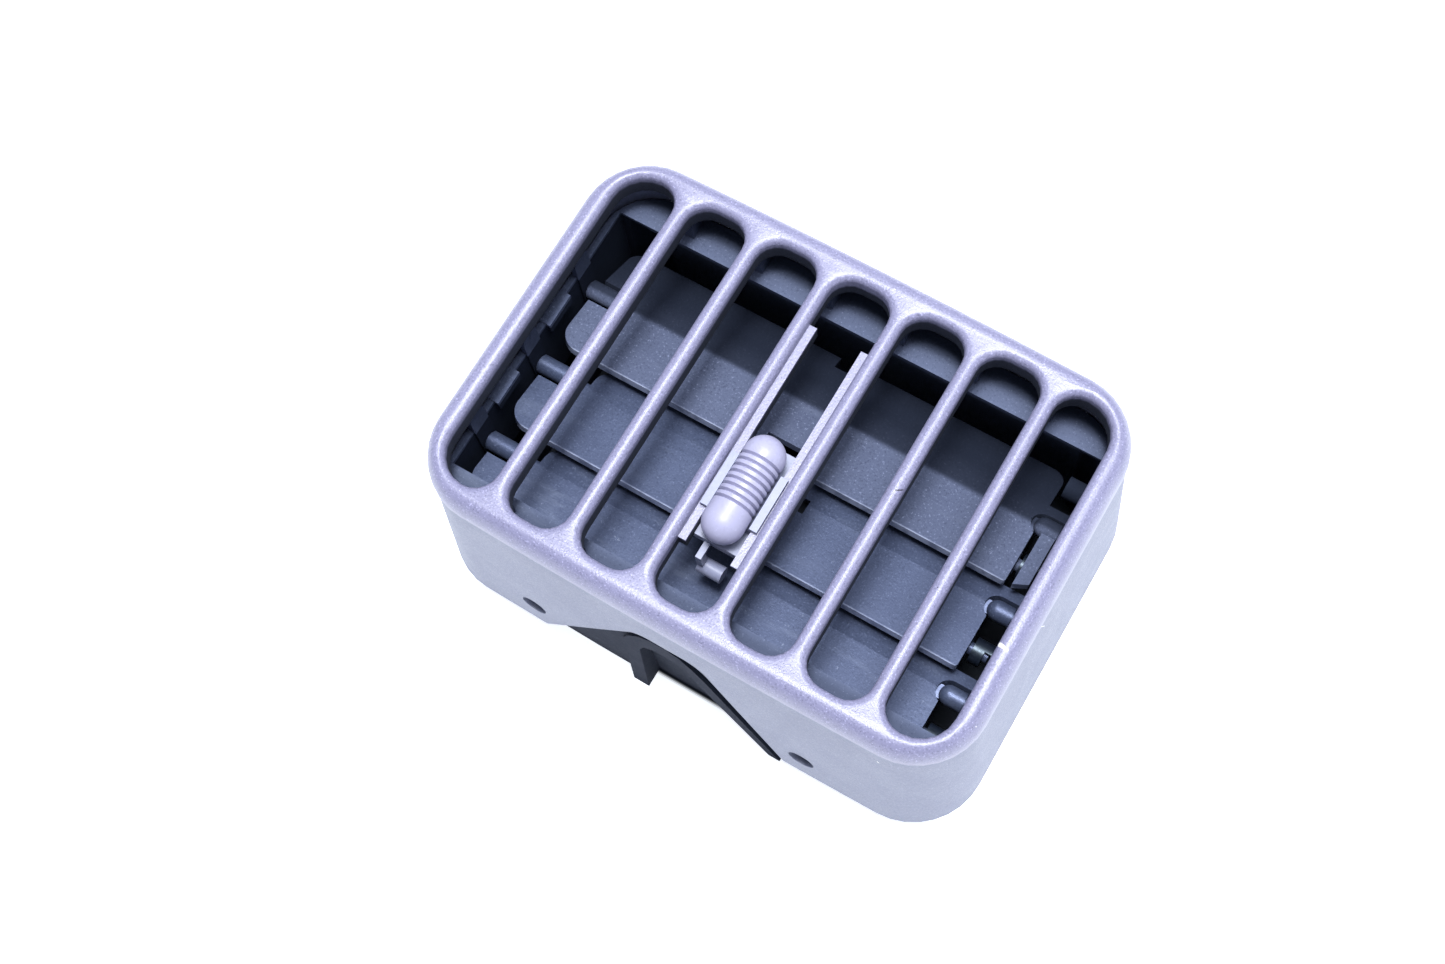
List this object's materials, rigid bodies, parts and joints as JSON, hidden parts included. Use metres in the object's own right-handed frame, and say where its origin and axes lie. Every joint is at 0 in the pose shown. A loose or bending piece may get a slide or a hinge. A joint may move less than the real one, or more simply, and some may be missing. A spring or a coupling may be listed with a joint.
{
  "type": "dashboard_air_vent",
  "caption": "Dashboard air vent with a slotted pale bezel, deep skirt, black housing with linked closing vanes and a ribbed thumb slider.",
  "frame": {"origin": "centre of the rear edge of the housing, on the plane the vent rests on when it lies on its back", "axes": "X runs along the row of slots, Y runs along the slots towards the edge the slider opens to, Z points out of the face"},
  "size_m": [0.1158, 0.0826, 0.0617],
  "materials": {
    "pale_plastic": "fine grained moulding, satin",
    "dark_plastic": "grained dark moulding",
    "vane_plastic": "smooth matte dark moulding",
    "black_plastic": "self-lubricating black plastic, slight sheen",
    "knob_plastic": "smooth moulding with worn ribs"
  },
  "bodies": {
    "frame": {"bezel": "pale_plastic", "vane_housing": "dark_plastic"},
    "upper_vane": {"vane_upper": "vane_plastic"},
    "middle_vane": {"vane_middle": "vane_plastic"},
    "lower_vane": {"vane_lower": "vane_plastic"},
    "link": {"link_bar": "black_plastic"},
    "slider": {"slider_carriage": "pale_plastic", "thumb_knob": "knob_plastic"}
  },
  "joints": [
    {"name": "slider_travel", "type": "slide", "parent": "frame", "child": "slider", "axis": [0, 1, 0], "range_m": [0, 0.01217]},
    {"name": "middle_vane_pivot", "type": "hinge", "parent": "frame", "child": "middle_vane", "pos_m": [0, -0.0023, 0.0377], "axis": [-1, 0, 0], "range_deg": [0, 75]},
    {"name": "upper_vane_pivot", "type": "hinge", "parent": "frame", "child": "upper_vane", "pos_m": [0, 0.01545, 0.0377], "axis": [-1, 0, 0], "range_deg": [0, 75]},
    {"name": "lower_vane_pivot", "type": "hinge", "parent": "frame", "child": "lower_vane", "pos_m": [0, -0.02005, 0.0377], "axis": [-1, 0, 0], "range_deg": [0, 75]},
    {"name": "link_pivot", "type": "hinge", "parent": "middle_vane", "child": "link", "pos_m": [0.0475, -0.01022, 0.03572], "axis": [-1, 0, 0], "range_deg": [-75, 0]}
  ],
  "couplings": [
    {"joint": "middle_vane_pivot", "follows": "slider_travel", "rad_per_m": 107.53},
    {"joint": "upper_vane_pivot", "follows": "slider_travel", "rad_per_m": 107.53},
    {"joint": "lower_vane_pivot", "follows": "slider_travel", "rad_per_m": 107.53},
    {"joint": "link_pivot", "follows": "slider_travel", "rad_per_m": -107.53}
  ]
}
